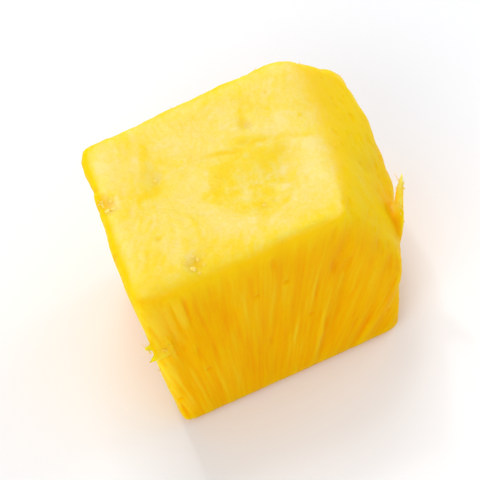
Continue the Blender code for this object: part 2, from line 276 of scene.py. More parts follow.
# ---- Specks of the fruitlet's dried flower, left in the eye pit ----
SPECK_SCATTER = 1.1
SPECK_COUNT = 16
SPECK_LENGTHS = (0.25, 0.62)
SPECK_SHAPE = (1.0, 0.34, 0.22)
SPECK_RISE = 0.2            # how much they stand up
SPECK_LIFT = 0.02

# ---- How rich the colour is, from 0, palest, to 1: what each trait adds ----
TOP_TONE = 0.40             # the face under the peel
HOLLOW_TONE = 0.15          # the main fruitlet's hollow
HOLLOW_SPAN = (0.3, 1.1)    # where it ends, in shares of the dimple's radius
NEIGHBOUR_SHARE = 0.90      # how much of its tone the other fruitlets get
NEIGHBOUR_SPAN = (0.0, 0.9)
RING_TONE = -0.10           # the pale ring of flesh round the main fruitlet
RING_RADIUS = 6.6
RING_WIDTH = 1.5
PAINTED_FRONT_SHADE_TONE = 0.42           # painted shade: richer where the face turns over the front edge, away from the light
STROKE_TONE = 0.34
SPOKE_TONE = 0.26
SPOT_TONE = -0.28
MOTTLE_TONE = 0.20
MOTTLE_WAVE = 2.6
BLOTCH_TONE = 0.16
BLOTCH_WAVE = 0.9
SIDE_TONE = 0.52            # the cut sides, deeper partly in their own flesh and partly as painted shade
PAINTED_LEFT_LIGHT_TONE = -0.30           # painted light: they are paler near the left front corner, where more light falls
PAINTED_LEFT_LIGHT_REACH = (2.0, 10.0)
BUNDLE_TONE = -0.28         # bundles that stand up are pale
FIBRE_TONE = -0.20
TEAR_TONE = 0.22
# painted shade: the pores are richer
PIT_SHADE_TONE = 0.30
# partly thinner flesh, partly a painted highlight: the sharp edges are paler
EDGE_PALE_AND_HIGHLIGHT_TONE = -0.22

# ---- Patterns in the materials, in millimetres ----
THREAD_SPACING = 0.53       # pale threads of the flesh
THREAD_RUN = 10.0
THREAD_TONE = -1.1          # what their whole noise, from 0 to 1, adds to the colour's richness
CELL_SIZE = 0.385           # juice cells, drawn about twice as coarse as real ones so that they show
CELL_TONE = 0.7
FILM_PATCH = 3.3            # patches in which the film of juice is thicker
FIBRE_STRETCH = 1.1         # paler and richer stretches of a fibre end
TORN_CELL = 0.31            # juice cells of a crumb, drawn coarser than real ones so that they show
TORN_PATCH = 0.77           # paler and richer parts of a crumb
PULP_FLECK = 0.55           # flecks of pulp in the juice
FLOWER_RIDGE = 0.42         # ridges of the dried flower
GOLDEN_BELOW = 20.0         # height up to which torn flesh is golden
PALE_ABOVE = 24.0           # and height from which it is pale

# ---- Camera, lights and floor, in metres and degrees from +X ----
VIEW_HEADING = -118.5
VIEW_CLIMB = 54.0
VIEW_DISTANCE = 0.48
VIEW_WIDTH = 0.055          # what the picture spans at the chunk
VIEW_SHIFT = (-0.0007, -0.0003, -0.0009)    # from the chunk's middle to the picture's
VIEW_NEAR = 0.01
LIGHT_DISTANCE = 0.9
ROOM_LIGHT = 0.58
FLOOR_REACH = 2.0
FLOOR_DROP = 0.00003        # the floor lies this far below the base, so that they don't flicker

SEED_STEPS = (17.3, 5.1, 9.7)   # from one seed's part of the noise to the next one's


def direction(heading, climb):
    """Unit vector from a heading in plan and a climb above it, both in degrees."""
    turn = math.radians(heading)
    rise = math.radians(climb)
    level = math.cos(rise)
    return Vector((math.cos(turn) * level, math.sin(turn) * level, math.sin(rise)))


def soft_step(low, high, value):
    """0 below low, 1 above high, and an even curve between."""
    t = np.clip((value - low) / (high - low), 0.0, 1.0)
    return t * t * (3.0 - 2.0 * t)


def within(span, radius, distance):
    """1 near a middle and 0 far from it. The span where it changes is in shares of a radius."""
    low, high = span
    return 1.0 - soft_step(low * radius, high * radius, distance)


def noise_at(points, wave=1.0, *, seed):
    """Smooth noise between about -1 and 1 at each point, with a pattern of its own for each seed."""
    shift = Vector([seed * step for step in SEED_STEPS])
    return np.array([noise.noise(Vector(point) / wave + shift) for point in points])


# ---------------------------------------------------------------- the fruit's growth

def fruit_place(points):
    """Where points lie in the fruit: along its girth under the peel, along its axis, and outward."""
    across = points[:, 0] - AXIS_X
    outward = points[:, 2] - (HEIGHT - CORE_DEPTH)
    radius = np.hypot(across, outward)
    girth = AXIS_X + np.arctan2(across, outward) * CORE_DEPTH
    return girth, points[:, 1], radius


def fruitlet_distances(girth, along):
    """Distances to the nearest of the other fruitlets, and to the middle of the main one."""
    row = direction(FRUITLET_TURN, 0.0) * FRUITLET_PITCH
    next_row = direction(FRUITLET_TURN - ROW_ANGLE, 0.0) * FRUITLET_PITCH
    steps = range(-ROWS_NEAR, ROWS_NEAR + 1)
    distances = []
    for i in steps:
        for j in steps:
            centre = Vector((FRUITLET_X, FRUITLET_Y, 0.0)) + row * i + next_row * j
            if i or j:
                distances.append(np.hypot(girth - centre.x, along - centre.y))
    middle = np.hypot(girth - HEART_X, along - HEART_Y)
    return np.min(distances, axis=0), middle


def fibre_noise(place, wave, run, seed):
    """Noise drawn out along the fibres, which run from the core to the peel."""
    girth, along, radius = place
    return noise_at(np.column_stack((girth / wave, along / wave, radius / run)), seed=seed)


def round_noise(girth, along, outward, turns, seed):
    """Noise that closes on itself round the main fruitlet's middle."""
    turn = np.arctan2(along - HEART_Y, girth - HEART_X)
    places = np.column_stack((outward, turns * np.cos(turn), turns * np.sin(turn)))
    return noise_at(places, seed=seed)


# ---------------------------------------------------------------- the skin of the flesh

def grid_size():
    return SKIN_GRID


def block_points(mesh):
    """The mesh's points in the block's own frame, and its normals."""
    points = np.empty(3 * len(mesh.vertices))
    normals = np.empty(3 * len(mesh.vertices))
    mesh.vertices.foreach_get("co", points)
    mesh.vertices.foreach_get("normal", normals)
    points = points.reshape(-1, 3) - np.array((BLOCK_X, BLOCK_Y, 0.0))
    return points, normals.reshape(-1, 3)


def fine_skin():
    """The solid's own surface as an even, closed grid of small faces, in millimetres."""
    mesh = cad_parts[SOLID].data.copy()
    mesh.name = "flesh"
    mesh.transform(Matrix.Scale(1.0 / MM, 4))
    form = bmesh.new()
    form.from_mesh(mesh)
    bmesh.ops.remove_doubles(form, verts=form.verts[:], dist=JOIN_REACH)
    form.to_mesh(mesh)
    form.free()
    flesh = bpy.data.objects.new("flesh", mesh)
    bpy.context.scene.collection.objects.link(flesh)
    round_over = flesh.modifiers.new("round", "SUBSURF")
    round_over.levels = 1
    round_over.render_levels = 1
    grid = flesh.modifiers.new("grid", "REMESH")
    grid.mode = "VOXEL"
    grid.voxel_size = grid_size()
    bpy.context.view_layer.update()
    evaluated = flesh.evaluated_get(bpy.context.evaluated_depsgraph_get())
    finished = bpy.data.meshes.new_from_object(evaluated)
    flesh.modifiers.clear()
    flesh.data = finished
    bpy.data.meshes.remove(mesh)
    return flesh


def keep_field(mesh, name, values):
    """Store one number for each point of the skin, for its material to read."""
    field = mesh.attributes.new(name, "FLOAT", "POINT")
    field.data.foreach_set("value", np.ascontiguousarray(values, dtype=np.float32))


def keep_places(mesh, name, places):
    """Store one place for each point of the skin, for its material to read."""
    field = mesh.attributes.new(name, "FLOAT_VECTOR", "POINT")
    field.data.foreach_set("vector", np.ascontiguousarray(places, dtype=np.float32).ravel())


def edge_ends(mesh):
    """The two points of every edge of the mesh."""
    ends = np.empty(2 * len(mesh.edges), dtype=np.int64)
    mesh.edges.foreach_get("vertices", ends)
    return ends.reshape(-1, 2).T


def eased(ends, values, rounds, share=EASE_SHARE):
    """Values of the points, averaged with their neighbours a number of times."""
    first, second = ends
    count = len(values)
    links = np.bincount(first, minlength=count) + np.bincount(second, minlength=count)
    share = np.broadcast_to(share, count)[:, None]
    values = values.copy()
    for _ in range(rounds):
        total = np.empty_like(values)
        for column in range(values.shape[1]):
            total[:, column] = np.bincount(first, values[second, column], count)
            total[:, column] += np.bincount(second, values[first, column], count)
        values = (1.0 - share) * values + share * total / links[:, None]
    return values


def rounds_for(reach):
    """How many rounds of averaging spread a value over a reach."""
    return max(1, round(EASE_ROUNDS * (reach / grid_size()) ** 2))


def stroke_field(points, girth, along, middle):
    """Short strokes of the fibre ends: round the main fruitlet, and side by side away from it."""
    arcs = round_noise(girth, along, middle / STROKE_WAVE, DIMPLE_RADIUS / STROKE_RUN, seed=41)
    way = direction(STROKE_HEADING, 0.0)
    sway = STROKE_SWAY * noise_at(points, SWAY_LENGTH, seed=43)
    run = (girth * way.x + along * way.y) / STROKE_RUN
    across = (along * way.x - girth * way.y + sway) / STROKE_WAVE
    dashes = noise_at(np.column_stack((across, run, STROKE_CLIMB * points[:, 2])), seed=45)
    strokes = dashes + within(ARC_SPAN, DIMPLE_RADIUS, middle) * (arcs - dashes)
    shown = soft_step(*STROKE_SHOWN, noise_at(points, STROKE_PATCH, seed=47))
    return strokes * (STROKE_FAINT + (1.0 - STROKE_FAINT) * shown)


def mark_fields(points, flat):
    """How rich and how deep the marks on the face under the peel are, where the skin lies flat."""
    tone = np.zeros(len(points))
    depth = np.zeros(len(points))
    wobble = MARK_WOBBLE * noise_at(points, WOBBLE_WAVE, seed=61)
    for mark in MARKS:
        way = direction(mark.way, 0.0)
        x = points[:, 0] - mark.x
        y = points[:, 1] - mark.y
        run = x * way.x + y * way.y
        across = y * way.x - x * way.y + wobble
        shape = flat * np.exp(-(2.0 * run / mark.length) ** 4 - (2.0 * across / mark.width) ** 2)
        tone += mark.tone * shape
        depth = np.maximum(depth, mark.depth * shape)
    return tone, depth


def fruitlet_tone(points, girth, along, middle):
    """Streaks that run out from the middle of the main fruitlet, and the pale cells between them."""
    streaks = round_noise(girth, along, middle / SPOKE_RUN, SPOKE_TURN, seed=63)
    spots = soft_step(*SPOT_SHOWN, noise_at(points, SPOT_WAVE, seed=65))
    inside = within(HEART_SPAN, DIMPLE_RADIUS, middle)
    return inside * (SPOKE_TONE * streaks + SPOT_TONE * spots)


def peel_side_tone(points, near, middle, strokes):
    """Hollows, the pale ring, strokes and mottled flesh of the face under the peel."""
    hollow = np.maximum(within(HOLLOW_SPAN, DIMPLE_RADIUS, middle),
                        NEIGHBOUR_SHARE * within(NEIGHBOUR_SPAN, DIMPLE_RADIUS, near))
    ring = np.exp(-((middle - RING_RADIUS) / RING_WIDTH) ** 2)
    mottle = MOTTLE_TONE * noise_at(points, MOTTLE_WAVE, seed=51)
    mottle += BLOTCH_TONE * noise_at(points, BLOTCH_WAVE, seed=53)
    return TOP_TONE + HOLLOW_TONE * hollow + RING_TONE * ring + STROKE_TONE * strokes + mottle


def pit_field(points):
    """0 to 1 in the pores of the flesh, which lie scattered over all faces, and their depth."""
    rng = np.random.default_rng(seed=7)
    centres = rng.choice(len(points), PIT_COUNT, replace=False)
    field = np.zeros(len(points))
    depth = np.zeros(len(points))
    for centre in centres:
        radius = rng.uniform(*PIT_SIZES)
        distance = np.linalg.norm(points - points[centre], axis=1)
        inside = within(PIT_WALL, radius, distance)
        field = np.maximum(field, inside)
        depth = np.maximum(depth, inside * radius * PIT_SHARE)
    return field, depth


def grow_flesh():
    """The flesh: the fine skin with the fruit's growth on it, as relief and as fields for its colour.

    Beside it, the finished skin for the fine pieces that lie on it.
    """
    flesh = fine_skin()
    mesh = flesh.data
    ends = edge_ends(mesh)

    # How sharp the form is, the evened-out skin, and which way it looks, blended round the edges
    points, normals = block_points(mesh)
    inward = points - eased(ends, points, rounds_for(EDGE_REACH))
    sharp = np.einsum("ij,ij->i", inward, normals)
    held = soft_step(*FLAKE_HOLD, sharp)
    points = eased(ends, points, SKIN_EASE, EASE_SHARE * (1.0 - held))
    broad = eased(ends, normals, rounds_for(FACE_REACH))
    broad /= np.linalg.norm(broad, axis=1)[:, None]

    # Which face each point belongs to, and where it lies in the fruit
    front = np.maximum(0.0, -broad[:, 1] - np.maximum(0.0, broad[:, 0]))
    peel_side = soft_step(*PEEL_SIDE_SPAN, broad[:, 2] + FRONT_SHARE * front)
    # Painted glow: how near a point of the sides lies to the top's edges, where the sides are painted
    # bright yellow
    rim = soft_step(*PAINTED_GLOW_SPAN, eased(ends, broad[:, 2:], rounds_for(PAINTED_GLOW_REACH))[:, 0])
    edge = soft_step(*EDGE_SPAN, sharp)
    place = fruit_place(points)
    girth = place[0] + FRUITLET_SWAY * noise_at(points, SWAY_LENGTH, seed=11)
    along = place[1] + FRUITLET_SWAY * noise_at(points, SWAY_LENGTH, seed=13)
    near, middle = fruitlet_distances(girth, along)

    # What grew there, and what the knife left of it
    bundles = fibre_noise(place, BUNDLE_WAVE, BUNDLE_RUN, seed=21)
    fibres = fibre_noise(place, FIBRE_WAVE, FIBRE_RUN, seed=23)
    tears = soft_step(*TEAR_SHOWN, fibre_noise(place, TEAR_WAVE, TEAR_RUN, seed=25))
    grain = noise_at(points, GRAIN_WAVE, seed=27)
    fine_grain = noise_at(points, FINE_GRAIN_WAVE, seed=29)
    nicks = soft_step(*NICK_SHOWN, noise_at(points, NICK_WAVE, seed=33))
    crumble = noise_at(points, CRUMBLE_WAVE, seed=35)
    strokes = stroke_field(points, girth, along, middle)
    marks, mark_depth = mark_fields(points, peel_side)
    pits, pit_depth = pit_field(points)

    # As relief
    top = GRAIN_HEIGHT * grain + FINE_GRAIN_HEIGHT * fine_grain + STROKE_HEIGHT * strokes
    side = BUNDLE_HEIGHT * bundles + FIBRE_HEIGHT * fibres - TEAR_DEPTH * tears
    side += SIDE_GRAIN_HEIGHT * fine_grain
    relief = peel_side * top + (1.0 - peel_side) * side - pit_depth - mark_depth
    relief -= NICK_DEPTH * edge * nicks
    relief += CRUMBLE_HEIGHT * edge * crumble
    relief *= soft_step(0.0, BASE_CALM, points[:, 2])
    moved = points + normals * relief[:, None]
    moved[:, 2] = np.maximum(moved[:, 2], 0.0)
    mesh.vertices.foreach_set("co", ((moved + np.array((BLOCK_X, BLOCK_Y, 0.0))) * MM).ravel())
    mesh.update()

    # As colour
    top_tone = peel_side_tone(points, near, middle, strokes)
    # Painted shade: the top's colour is made richer where it turns over the front edge
    top_tone += marks + fruitlet_tone(points, girth, along, middle) + PAINTED_FRONT_SHADE_TONE * front
    side_tone = SIDE_TONE + BUNDLE_TONE * bundles + FIBRE_TONE * fibres + TEAR_TONE * tears
    # Painted light: the sides are made paler towards the left front corner
    side_tone += PAINTED_LEFT_LIGHT_TONE * (1.0 - soft_step(*PAINTED_LEFT_LIGHT_REACH, points[:, 0]))
    # Painted shade in the pores, and paler sharp edges, partly thin flesh and partly a painted
    # highlight
    painted_pit_shade_and_edge_highlight = PIT_SHADE_TONE * pits + EDGE_PALE_AND_HIGHLIGHT_TONE * edge
    keep_places(mesh, "grown", np.column_stack(place))
    keep_field(mesh, "peel_side", peel_side)
    keep_field(mesh, "top_tone", top_tone + painted_pit_shade_and_edge_highlight)
    keep_field(mesh, "side_tone", side_tone + painted_pit_shade_and_edge_highlight)
    keep_field(mesh, "rim", rim)
    mesh.shade_smooth()
    return flesh, Skin(moved, broad, sharp)


# ---------------------------------------------------------------- fine pieces

def lay_piece(name, form, material):
    """Finish a form made in the block's frame, in millimetres, as a piece of the chunk."""
    form.transform(Matrix.Translation((BLOCK_X, BLOCK_Y, 0.0)))
    form.transform(Matrix.Scale(MM, 4))
    mesh = bpy.data.meshes.new(name)
    form.to_mesh(mesh)
    form.free()
    mesh.materials.append(material)
    mesh.shade_smooth()
    piece = bpy.data.objects.new(name, mesh)
    bpy.context.scene.collection.objects.link(piece)
    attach(piece, BODY)


def nearest_skin(skin, place):
    """The skin's point that is nearest to a place, and the way out of the flesh there."""
    i = np.argmin(((skin.points - np.array(place)) ** 2).sum(axis=1))
    return Vector(skin.points[i]), Vector(skin.normals[i])


def skin_near(skin, rng, place, scatter):
    """A point of the skin drawn from round a place, and the way out of the flesh there."""
    return nearest_skin(skin, np.array(place) + rng.normal(size=3) * (SCATTER_SHARE * scatter))


def outward_fibre(point):
    """The way the fibres run at a point: from the fruit's core to its peel."""
    return Vector((point.x - AXIS_X, 0.0, point.z - (HEIGHT - CORE_DEPTH))).normalized()


def from_root(point):
    """From the root of the nearest torn flake, where its crumbs lie, to a point."""
    reaches = [point - Vector(spot.place) for spot in CRUMB_SPOTS]
    return min(reaches, key=lambda reach: reach.length)


def torn_way(point):
    """The way a torn flake runs at a point."""
    return from_root(point).normalized()


def random_way(rng):
    """A unit vector any way at all."""
    return Vector(rng.normal(size=3)).normalized()


def turn_to(way, axis="Z", side="Y"):
    """The turn that lays an axis along a way."""
    return way.to_track_quat(axis, side).to_matrix().to_4x4()


def grow_strand(form, root, way, length, bend, breadth):
    """One fibre end: a thread or ribbon that tapers and bends over towards its tip."""
    side = way.cross(bend).normalized()
    rings = []
    for step in range(FIBRE_STEPS):
        t = step / (FIBRE_STEPS - 1)
        centre = root + way * (length * t) + bend * (length * t * t)
        radius = FIBRE_RADII[0] + (FIBRE_RADII[1] - FIBRE_RADII[0]) * t
        half = radius * (breadth + (1.0 - breadth) * t)
        along = (way + bend * (2.0 * t)).normalized()
        up = side.cross(along).normalized()
        ring = []
        for k in range(FIBRE_SIDES):
            turn = math.tau * k / FIBRE_SIDES
            offset = side * (half * math.cos(turn)) + up * (radius * math.sin(turn))
            ring.append(form.verts.new(centre + offset))
        rings.append(ring)
    for low, high in zip(rings, rings[1:]):
        for k in range(FIBRE_SIDES):
            m = (k + 1) % FIBRE_SIDES
            form.faces.new((low[k], low[m], high[m], high[k]))
    form.faces.new(rings[0][::-1])
    form.faces.new(rings[-1])


def grow_strands(form, skin, rng, places, *, number, lengths, run, back, rise, stray, breadth, sink):
    """Fibre ends at a number of places on the skin, by the indices of its points.

    They follow the flesh's run there, a share of them back against it, rise from it, and stray.
    """
    for i in rng.choice(places, number, replace=False):
        root, normal = nearest_skin(skin, skin.points[i])
        grain = run(root) * (-1.0 if rng.random() < back else 1.0)
        grain -= normal * grain.dot(normal)
        way = (grain + normal * rise + random_way(rng) * stray).normalized()
        bend = random_way(rng) * FIBRE_BEND
        length = rng.uniform(*lengths) * rng.uniform(*LENGTH_LEFT)
        start = root - normal * FIBRE_SINK - way * sink
        grow_strand(form, start, way, length + sink, bend, breadth)


def loose_fibres(skin):
    """Fine fibre ends that the knife left: short along the cut edges, longer on the torn flakes."""
    rng = np.random.default_rng(seed=17)
    form = bmesh.new()
    height = skin.points[:, 2]
    edges = (skin.sharp > EDGE_SHARP) & (skin.sharp < FLAKE_SHARP) & (height > FUZZ_ABOVE)
    grow_strands(form, skin, rng, np.flatnonzero(edges), number=FUZZ_COUNT, lengths=FUZZ_LENGTHS,
                 run=outward_fibre, back=0.30, rise=0.30, stray=0.60, breadth=1.0, sink=0.0)
    flakes = np.flatnonzero((skin.sharp > FLAKE_SHARP) & (height > TUFT_ABOVE))
    flakes = [i for i in flakes if from_root(Vector(skin.points[i])).length > RIBBON_CLEAR]
    grow_strands(form, skin, rng, flakes, number=TUFT_COUNT, lengths=TUFT_LENGTHS,
                 run=torn_way, back=0.0, rise=0.06, stray=0.16, breadth=RIBBON, sink=RIBBON_SINK)
    lay_piece("loose_fibres", form, fibre_ends())


def crumbs(skin):
    """Soft crumbs of torn flesh in the pits and at the tears."""
    rng = np.random.default_rng(seed=19)
    form = bmesh.new()
    for spot in CRUMB_SPOTS:
        for _ in range(spot.number):
            place = skin_near(skin, rng, spot.place, spot.scatter)[0]
            radius = spot.radius * rng.uniform(*CRUMB_SIZES)
            lie = Matrix.Translation(place) @ turn_to(random_way(rng))
            lie @= Matrix.Diagonal((*CRUMB_SHAPE, 1.0))
            lump = bmesh.ops.create_icosphere(form, subdivisions=2, radius=radius)["verts"]
            shift = Vector(rng.uniform(0.0, LUMP_ROOM, 3))
            for vertex in lump:
                bulge = noise.noise(vertex.co / radius * LUMPS_ACROSS + shift)
                vertex.co = lie @ (vertex.co * (1.0 + CRUMB_LUMPS * bulge))
    lay_piece("crumbs", form, torn_flesh())


def juice_beads(skin):
    """Beads of juice: low domes that cling to the flesh."""
    form = bmesh.new()
    flat = Matrix.Diagonal((1.0, 1.0, BEAD_FLATNESS, 1.0))
    for spot, radius in BEADS:
        place, normal = nearest_skin(skin, spot)
        lie = Matrix.Translation(place - normal * (BEAD_SINK * BEAD_FLATNESS * radius))
        lie @= turn_to(normal) @ flat
        bmesh.ops.create_icosphere(form, subdivisions=3, radius=radius, matrix=lie)
    lay_piece("juice_beads", form, juice())


def eye_specks(skin):
    """Brown specks of the dried flower that the fruitlet's eye left in its pit."""
    rng = np.random.default_rng(seed=23)
    form = bmesh.new()
    for _ in range(SPECK_COUNT):
        place, normal = skin_near(skin, rng, EYE_PIT, SPECK_SCATTER)
        length = rng.uniform(*SPECK_LENGTHS)
        way = (random_way(rng) + normal * SPECK_RISE).normalized()
        lie = Matrix.Translation(place + normal * SPECK_LIFT) @ turn_to(way, "X", "Z")
        lie @= Matrix.Diagonal((*SPECK_SHAPE, 1.0))
        bmesh.ops.create_icosphere(form, subdivisions=2, radius=0.5 * length, matrix=lie)
    lay_piece("eye_specks", form, dried_flower())


# ---------------------------------------------------------------- materials

def linear(colour):
    """An sRGB hex colour as linear red, green, blue and full alpha."""
    values = [int(colour[i:i + 2], 16) / 255.0 for i in (1, 3, 5)]
    return tuple(v / 12.92 if v <= 0.04045 else ((v + 0.055) / 1.055) ** 2.4 for v in values) + (1.0,)


def per_metre(size):
    """The scale of a pattern on coordinates in metres, from its size in millimetres."""
    return 1.0 / (size * MM)


def add(tree, kind, settings=None, links=None, stops=()):
    """Add one node: its own settings and socket values, its links, and a ramp's colour stops."""
    node = tree.nodes.new(kind)
    for name, value in (settings or {}).items():
        if isinstance(name, str) and hasattr(node, name):
            setattr(node, name, value)
        else:
            node.inputs[name].default_value = value
    for name, source in (links or {}).items():
        tree.links.new(source, node.inputs[name])
    while stops and len(node.color_ramp.elements) < len(stops):
        node.color_ramp.elements.new(0.5)
    for element, (place, colour) in zip(node.color_ramp.elements if stops else (), stops):
        element.position = place
        element.color = linear(colour)
    return node


def new_material(name):
    """A material with an empty node tree."""
    material = bpy.data.materials.new(name)
    material.use_nodes = True
    material.node_tree.nodes.clear()
    return material, material.node_tree


def flesh_patterns(tree):
    """Threads that run from the core to the peel, cells of juice, and patches of a thicker film."""
    grown = add(tree, "ShaderNodeAttribute", {"attribute_name": "grown"}).outputs["Vector"]
    across = 1.0 / THREAD_SPACING
    stretched = add(tree, "ShaderNodeVectorMath", {
        "operation": "MULTIPLY",
        1: (across, across, 1.0 / THREAD_RUN),
    }, {0: grown}).outputs[0]
    threads = add(tree, "ShaderNodeTexNoise", {
        "Scale": 1.0,
        "Detail": 3.0,
        "Roughness": 0.6,
    }, {"Vector": stretched}).outputs["Fac"]
    cells = add(tree, "ShaderNodeTexNoise", {
        "Scale": 1.0 / CELL_SIZE,
        "Detail": 2.0,
        "Roughness": 0.55,
    }, {"Vector": grown}).outputs["Fac"]
    patches = add(tree, "ShaderNodeTexNoise", {
        "Scale": 1.0 / FILM_PATCH,
        "Detail": 2.0,
        "Roughness": 0.5,
    }, {"Vector": grown}).outputs["Fac"]
    return threads, cells, patches


def side_colour(tree, tone, threads):
    """The cut sides: pale threads in golden flesh, deeper and more orange than the top partly as
    painted shade.
    """
    thread_tone = add(tree, "ShaderNodeMath", {
        "operation": "MULTIPLY_ADD", 1: THREAD_TONE, 2: -0.5 * THREAD_TONE}, {0: threads}).outputs[0]
    tone = add(tree, "ShaderNodeMath", {
        "operation": "ADD", "use_clamp": True}, {0: tone, 1: thread_tone}).outputs[0]
    return add(tree, "ShaderNodeValToRGB", links={"Fac": tone}, stops=(
        (0.05, "#FFCC28"), (0.40, "#FFB900"), (0.70, "#FFAC00"), (1.00, "#FF9E00"))).outputs[0]


def peel_side_colour(tree, tone, cells):
    """The side under the peel: milky yellow, richer in the fruitlet and along the strokes."""
    cell_tone = add(tree, "ShaderNodeMath", {
        "operation": "MULTIPLY_ADD", 1: CELL_TONE, 2: -0.5 * CELL_TONE}, {0: cells}).outputs[0]
    tone = add(tree, "ShaderNodeMath", {
        "operation": "ADD", "use_clamp": True}, {0: tone, 1: cell_tone}).outputs[0]
    return add(tree, "ShaderNodeValToRGB", links={"Fac": tone}, stops=(
        (0.05, "#F2DD8A"), (0.35, "#F1D866"), (0.65, "#F1D440"), (1.00, "#F2CF1A"))).outputs[0]


def juice_film(tree, peel_side, patches):
    """How much juice lies on the flesh: a film that is thicker in places, and has run off the sides."""
    film = add(tree, "ShaderNodeMapRange", {
        "interpolation_type": "SMOOTHSTEP",
        "From Min": 0.46,
        "From Max": 0.62,
        "To Min": 0.24,
        "To Max": 0.46,
    }, {"Value": patches}).outputs[0]
    drained = add(tree, "ShaderNodeMapRange", {
        "From Min": 0.3,
        "To Min": 0.06,
        "To Max": 1.0,
    }, {"Value": peel_side}).outputs[0]
    return add(tree, "ShaderNodeMath", {"operation": "MULTIPLY"}, {0: film, 1: drained}).outputs[0]


def ripe_flesh():
    """Ripe pineapple flesh, knife-cut: cells full of juice between pale fibres, wet all over.

    Light goes in and comes out again some millimetres away, the red and green of it more than
    the blue, so that shaded sides stay a warm yellow. The side that lay under the peel is paler, and
    the cut sides deeper and more orange: partly the flesh's own colour, partly painted shade.
    """
    material, tree = new_material("ripe_flesh")
    field = {}
    for name in ("peel_side", "top_tone", "side_tone", "rim"):
        field[name] = add(tree, "ShaderNodeAttribute", {"attribute_name": name}).outputs["Fac"]
    threads, cells, patches = flesh_patterns(tree)
    side = side_colour(tree, field["side_tone"], threads)
    top = peel_side_colour(tree, field["top_tone"], cells)
    film = juice_film(tree, field["peel_side"], patches)

    # Below the top's edges the sides are painted a clear bright yellow: a painted glow of the light
    # that comes through the flesh there. A mix of colours has its share at socket 0, the colours at
    # sockets 6 and 7, and the result at output 2
    rim = add(tree, "ShaderNodeMix", {
        "data_type": "RGBA", 7: linear("#FFCA0C")}, {0: field["rim"], 6: side}).outputs[2]
    flesh = add(tree, "ShaderNodeMix", {
        "data_type": "RGBA"}, {0: field["peel_side"], 6: rim, 7: top}).outputs[2]

    # Threads and cells stand up a little, most of all in the film, and some cells are smoother
    rough = add(tree, "ShaderNodeMapRange", {
        "From Min": 0.3,
        "From Max": 0.7,
        "To Min": 0.34,
        "To Max": 0.52,
    }, {"Value": cells}).outputs[0]
    thread_bump = add(tree, "ShaderNodeBump", {
        "Strength": 0.7, "Distance": 0.06 * MM}, {"Height": threads}).outputs[0]
    cell_bump = add(tree, "ShaderNodeBump", {
        "Strength": 0.6, "Distance": 0.08 * MM}, {"Height": cells, "Normal": thread_bump}).outputs[0]
    wet_bump = add(tree, "ShaderNodeBump", {
        "Strength": 1.0, "Distance": 0.12 * MM}, {"Height": cells, "Normal": thread_bump}).outputs[0]
    shader = add(tree, "ShaderNodeBsdfPrincipled", {
        "IOR": 1.37,
        "Specular IOR Level": 0.03,
        "Subsurface Weight": 1.0,
        "Subsurface Radius": (0.54, 0.46, 0.08),
        "Subsurface Scale": 5.5 * MM,
        "Coat Roughness": 0.11,
        "Coat IOR": 1.34,
    }, {
        "Base Color": flesh,
        "Roughness": rough,
        "Coat Weight": film,
        "Normal": cell_bump,
        "Coat Normal": wet_bump,
    })
    add(tree, "ShaderNodeOutputMaterial", links={"Surface": shader.outputs[0]})
    return material


def fibre_ends():
    """Fibre ends: thin cellulose threads full of juice, which look pale, silky and see-through."""
    material, tree = new_material("fibre_ends")
    place = add(tree, "ShaderNodeTexCoord").outputs["Object"]
    stretches = add(tree, "ShaderNodeTexNoise", {
        "Scale": per_metre(FIBRE_STRETCH), "Detail": 2.0}, {"Vector": place}).outputs["Fac"]
    tone = add(tree, "ShaderNodeValToRGB", links={"Fac": stretches}, stops=(
        (0.30, "#FFE684"), (0.55, "#FFDC50"), (0.75, "#FFCE28"))).outputs[0]
    silk = add(tree, "ShaderNodeBump", {
        "Strength": 0.4, "Distance": 0.02 * MM}, {"Height": stretches}).outputs[0]
    shader = add(tree, "ShaderNodeBsdfPrincipled", {
        "Roughness": 0.38,
        "IOR": 1.37,
        "Specular IOR Level": 0.35,
        "Coat Weight": 0.4,
        "Coat Roughness": 0.15,
        "Coat IOR": 1.34,
    }, {"Base Color": tone, "Normal": silk})
    add(tree, "ShaderNodeOutputMaterial", links={"Surface": shader.outputs[0]})
    return material


def torn_flesh():
    """Torn flesh: single juice cells and bits of fibre, so it is grainy and wet.

    It is golden like the flesh towards the core, and pale near the peel: partly its own colour, partly
    painted shade, as on the flesh.
    """
    material, tree = new_material("torn_flesh")
    place = add(tree, "ShaderNodeTexCoord").outputs["Object"]
    cells = add(tree, "ShaderNodeTexVoronoi", {
        "Scale": per_metre(TORN_CELL)}, {"Vector": place}).outputs["Distance"]
    patches = add(tree, "ShaderNodeTexNoise", {
        "Scale": per_metre(TORN_PATCH), "Detail": 2.0}, {"Vector": place}).outputs["Fac"]
    golden = add(tree, "ShaderNodeValToRGB", links={"Fac": patches}, stops=(
        (0.30, "#FFDA50"), (0.52, "#FFCC28"), (0.75, "#FFBE0C"))).outputs[0]
    pale = add(tree, "ShaderNodeValToRGB", links={"Fac": patches}, stops=(
        (0.30, "#FFE88C"), (0.52, "#FFDE62"), (0.75, "#FFD13C"))).outputs[0]
    height = add(tree, "ShaderNodeSeparateXYZ", links={"Vector": place}).outputs["Z"]
    peel_side = add(tree, "ShaderNodeMapRange", {
        "From Min": GOLDEN_BELOW * MM, "From Max": PALE_ABOVE * MM}, {"Value": height}).outputs[0]
    tone = add(tree, "ShaderNodeMix", {
        "data_type": "RGBA"}, {0: peel_side, 6: golden, 7: pale}).outputs[2]
    grain = add(tree, "ShaderNodeBump", {
        "Strength": 0.6, "Distance": 0.04 * MM}, {"Height": cells}).outputs[0]
    shader = add(tree, "ShaderNodeBsdfPrincipled", {
        "Roughness": 0.42,
        "IOR": 1.37,
        "Specular IOR Level": 0.3,
        "Coat Weight": 0.35,
        "Coat Roughness": 0.12,
        "Coat IOR": 1.34,
    }, {"Base Color": tone, "Normal": grain, "Coat Normal": grain})
    add(tree, "ShaderNodeOutputMaterial", links={"Surface": shader.outputs[0]})
    return material


